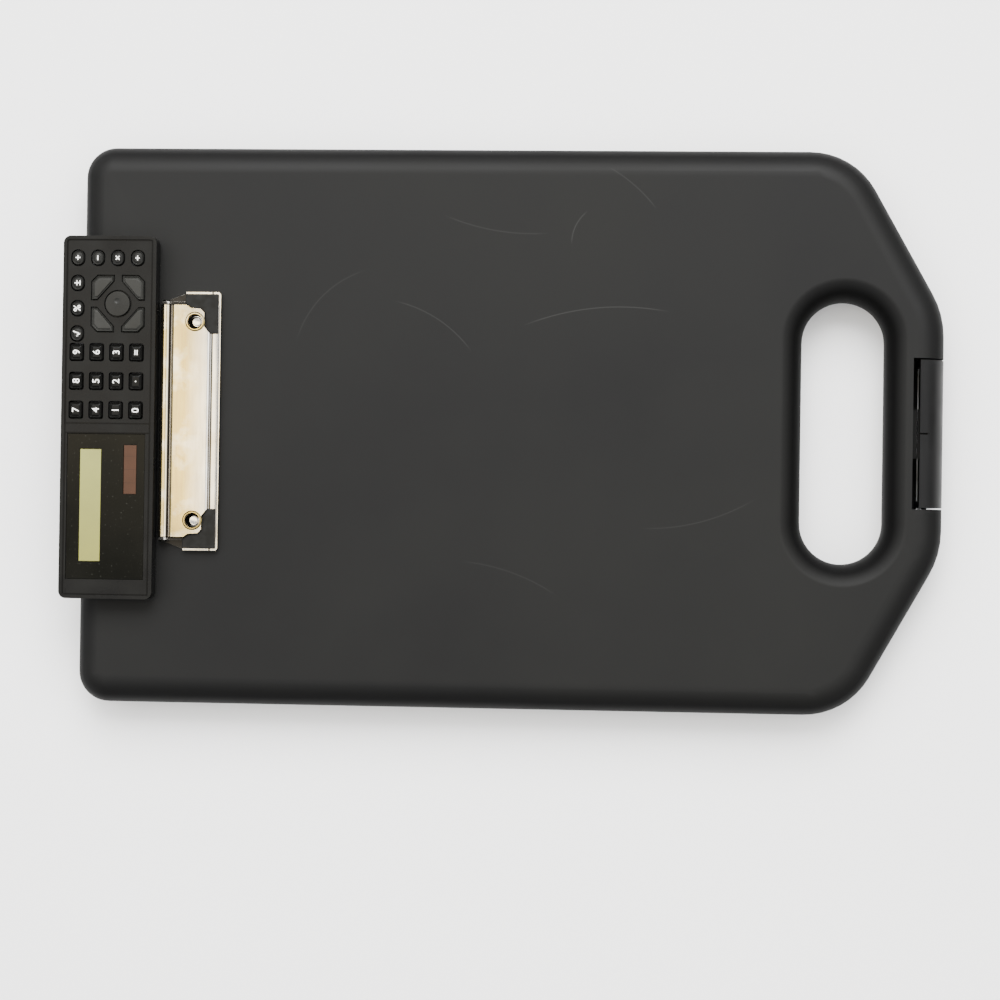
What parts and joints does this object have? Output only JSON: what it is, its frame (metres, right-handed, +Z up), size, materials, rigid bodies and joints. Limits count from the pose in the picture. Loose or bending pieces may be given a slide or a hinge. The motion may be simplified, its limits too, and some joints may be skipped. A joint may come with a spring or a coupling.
{
  "type": "storage clipboard box",
  "caption": "Flat storage clipboard box with a hinged lid, cut-through carrying handle, swinging latch, sprung paper clip and a pocket calculator over its hinge end.",
  "frame": {"origin": "centre of the case's flat underside", "axes": "+X towards the carrying handle, +Y to the left of someone who looks towards the handle, +Z up through the lid, with the lid closed"},
  "size_m": [0.396, 0.254, 0.0392],
  "materials": {
    "case_plastic": "fine moulded texture",
    "calculator_plastic": "satin moulded",
    "key_plastic": "satin moulded",
    "window_plastic": "polished",
    "clip_chrome": "bright nickel plate",
    "steel": "drawn wire",
    "grip_rubber": "matt",
    "keypad_rubber": "matt",
    "display_glass": "smooth",
    "solar_cell": "smooth",
    "circuit_board": "solder mask"
  },
  "bodies": {
    "base": {"base_shell": "case_plastic", "hinge_pin": "steel", "latch_pin": "steel"},
    "latch": {"latch": "case_plastic"},
    "clip": {"clip_jaw": "clip_chrome", "clip_grips": "grip_rubber"},
    "lid": {"lid_shell": "case_plastic", "clip_base": "clip_chrome", "clip_rod": "steel", "clip_spring": "steel", "clip_rivets": "clip_chrome", "clip_washers": "steel", "calc_bracket": "calculator_plastic", "bracket_screws": "steel", "adhesive_pads": "grip_rubber", "calc_back_case": "calculator_plastic", "calc_front_case": "calculator_plastic", "calc_window": "window_plastic", "calc_lcd": "display_glass", "calc_solar_cell": "solar_cell", "calc_pcb": "circuit_board", "calc_keypad_mat": "keypad_rubber", "calc_battery": "steel", "calc_battery_contact": "steel", "calc_battery_door": "calculator_plastic", "calc_screws": "steel"},
    "key_7": {"key_7": "key_plastic"},
    "key_8": {"key_8": "key_plastic"},
    "key_9": {"key_9": "key_plastic"},
    "key_4": {"key_4": "key_plastic"},
    "key_5": {"key_5": "key_plastic"},
    "key_6": {"key_6": "key_plastic"},
    "key_1": {"key_1": "key_plastic"},
    "key_2": {"key_2": "key_plastic"},
    "key_3": {"key_3": "key_plastic"},
    "key_0": {"key_0": "key_plastic"},
    "key_point": {"key_point": "key_plastic"},
    "key_equals": {"key_equals": "key_plastic"},
    "key_root": {"key_root": "key_plastic"},
    "key_percent": {"key_percent": "key_plastic"},
    "key_sign": {"key_sign": "key_plastic"},
    "key_clear": {"key_clear": "key_plastic"},
    "key_recall": {"key_recall": "key_plastic"},
    "key_store": {"key_store": "key_plastic"},
    "key_erase": {"key_erase": "key_plastic"},
    "key_add": {"key_add": "key_plastic"},
    "key_subtract": {"key_subtract": "key_plastic"},
    "key_multiply": {"key_multiply": "key_plastic"},
    "key_divide": {"key_divide": "key_plastic"},
    "key_centre": {"key_centre": "key_plastic"}
  },
  "joints": [
    {"name": "lid_hinge", "type": "hinge", "parent": "base", "child": "lid", "pos_m": [-0.1967, 0, 0.014], "axis": [0, -1, 0], "range_deg": [0, 95]},
    {"name": "latch_pivot", "type": "hinge", "parent": "base", "child": "latch", "pos_m": [0.1888, 0, 0.0046], "axis": [0, 1, 0], "range_deg": [0, 60]},
    {"name": "clip_pivot", "type": "hinge", "parent": "lid", "child": "clip", "pos_m": [-0.1545, 0.0014, 0.032], "axis": [0, -1, 0], "range_deg": [0, 70], "stiffness_Nm_per_rad": 0.3, "springref_deg": -22.92, "deforming": ["clip_spring"]},
    {"name": "key_7_press", "type": "slide", "parent": "lid", "child": "key_7", "axis": [0, 0, -1], "range_m": [0, 0.0008], "stiffness_N_per_m": 600, "springref_m": -0.0005},
    {"name": "key_8_press", "type": "slide", "parent": "lid", "child": "key_8", "axis": [0, 0, -1], "range_m": [0, 0.0008], "stiffness_N_per_m": 600, "springref_m": -0.0005},
    {"name": "key_9_press", "type": "slide", "parent": "lid", "child": "key_9", "axis": [0, 0, -1], "range_m": [0, 0.0008], "stiffness_N_per_m": 600, "springref_m": -0.0005},
    {"name": "key_4_press", "type": "slide", "parent": "lid", "child": "key_4", "axis": [0, 0, -1], "range_m": [0, 0.0008], "stiffness_N_per_m": 600, "springref_m": -0.0005},
    {"name": "key_5_press", "type": "slide", "parent": "lid", "child": "key_5", "axis": [0, 0, -1], "range_m": [0, 0.0008], "stiffness_N_per_m": 600, "springref_m": -0.0005},
    {"name": "key_6_press", "type": "slide", "parent": "lid", "child": "key_6", "axis": [0, 0, -1], "range_m": [0, 0.0008], "stiffness_N_per_m": 600, "springref_m": -0.0005},
    {"name": "key_1_press", "type": "slide", "parent": "lid", "child": "key_1", "axis": [0, 0, -1], "range_m": [0, 0.0008], "stiffness_N_per_m": 600, "springref_m": -0.0005},
    {"name": "key_2_press", "type": "slide", "parent": "lid", "child": "key_2", "axis": [0, 0, -1], "range_m": [0, 0.0008], "stiffness_N_per_m": 600, "springref_m": -0.0005},
    {"name": "key_3_press", "type": "slide", "parent": "lid", "child": "key_3", "axis": [0, 0, -1], "range_m": [0, 0.0008], "stiffness_N_per_m": 600, "springref_m": -0.0005},
    {"name": "key_0_press", "type": "slide", "parent": "lid", "child": "key_0", "axis": [0, 0, -1], "range_m": [0, 0.0008], "stiffness_N_per_m": 600, "springref_m": -0.0005},
    {"name": "key_point_press", "type": "slide", "parent": "lid", "child": "key_point", "axis": [0, 0, -1], "range_m": [0, 0.0008], "stiffness_N_per_m": 600, "springref_m": -0.0005},
    {"name": "key_equals_press", "type": "slide", "parent": "lid", "child": "key_equals", "axis": [0, 0, -1], "range_m": [0, 0.0008], "stiffness_N_per_m": 600, "springref_m": -0.0005},
    {"name": "key_root_press", "type": "slide", "parent": "lid", "child": "key_root", "axis": [0, 0, -1], "range_m": [0, 0.0008], "stiffness_N_per_m": 600, "springref_m": -0.0005},
    {"name": "key_percent_press", "type": "slide", "parent": "lid", "child": "key_percent", "axis": [0, 0, -1], "range_m": [0, 0.0008], "stiffness_N_per_m": 600, "springref_m": -0.0005},
    {"name": "key_sign_press", "type": "slide", "parent": "lid", "child": "key_sign", "axis": [0, 0, -1], "range_m": [0, 0.0008], "stiffness_N_per_m": 600, "springref_m": -0.0005},
    {"name": "key_clear_press", "type": "slide", "parent": "lid", "child": "key_clear", "axis": [0, 0, -1], "range_m": [0, 0.0008], "stiffness_N_per_m": 600, "springref_m": -0.0005},
    {"name": "key_recall_press", "type": "slide", "parent": "lid", "child": "key_recall", "axis": [0, 0, -1], "range_m": [0, 0.0008], "stiffness_N_per_m": 600, "springref_m": -0.0005},
    {"name": "key_store_press", "type": "slide", "parent": "lid", "child": "key_store", "axis": [0, 0, -1], "range_m": [0, 0.0008], "stiffness_N_per_m": 600, "springref_m": -0.0005},
    {"name": "key_erase_press", "type": "slide", "parent": "lid", "child": "key_erase", "axis": [0, 0, -1], "range_m": [0, 0.0008], "stiffness_N_per_m": 600, "springref_m": -0.0005},
    {"name": "key_add_press", "type": "slide", "parent": "lid", "child": "key_add", "axis": [0, 0, -1], "range_m": [0, 0.0008], "stiffness_N_per_m": 600, "springref_m": -0.0005},
    {"name": "key_subtract_press", "type": "slide", "parent": "lid", "child": "key_subtract", "axis": [0, 0, -1], "range_m": [0, 0.0008], "stiffness_N_per_m": 600, "springref_m": -0.0005},
    {"name": "key_multiply_press", "type": "slide", "parent": "lid", "child": "key_multiply", "axis": [0, 0, -1], "range_m": [0, 0.0008], "stiffness_N_per_m": 600, "springref_m": -0.0005},
    {"name": "key_divide_press", "type": "slide", "parent": "lid", "child": "key_divide", "axis": [0, 0, -1], "range_m": [0, 0.0008], "stiffness_N_per_m": 600, "springref_m": -0.0005},
    {"name": "key_centre_press", "type": "slide", "parent": "lid", "child": "key_centre", "axis": [0, 0, -1], "range_m": [0, 0.0008], "stiffness_N_per_m": 600, "springref_m": -0.0005}
  ]
}
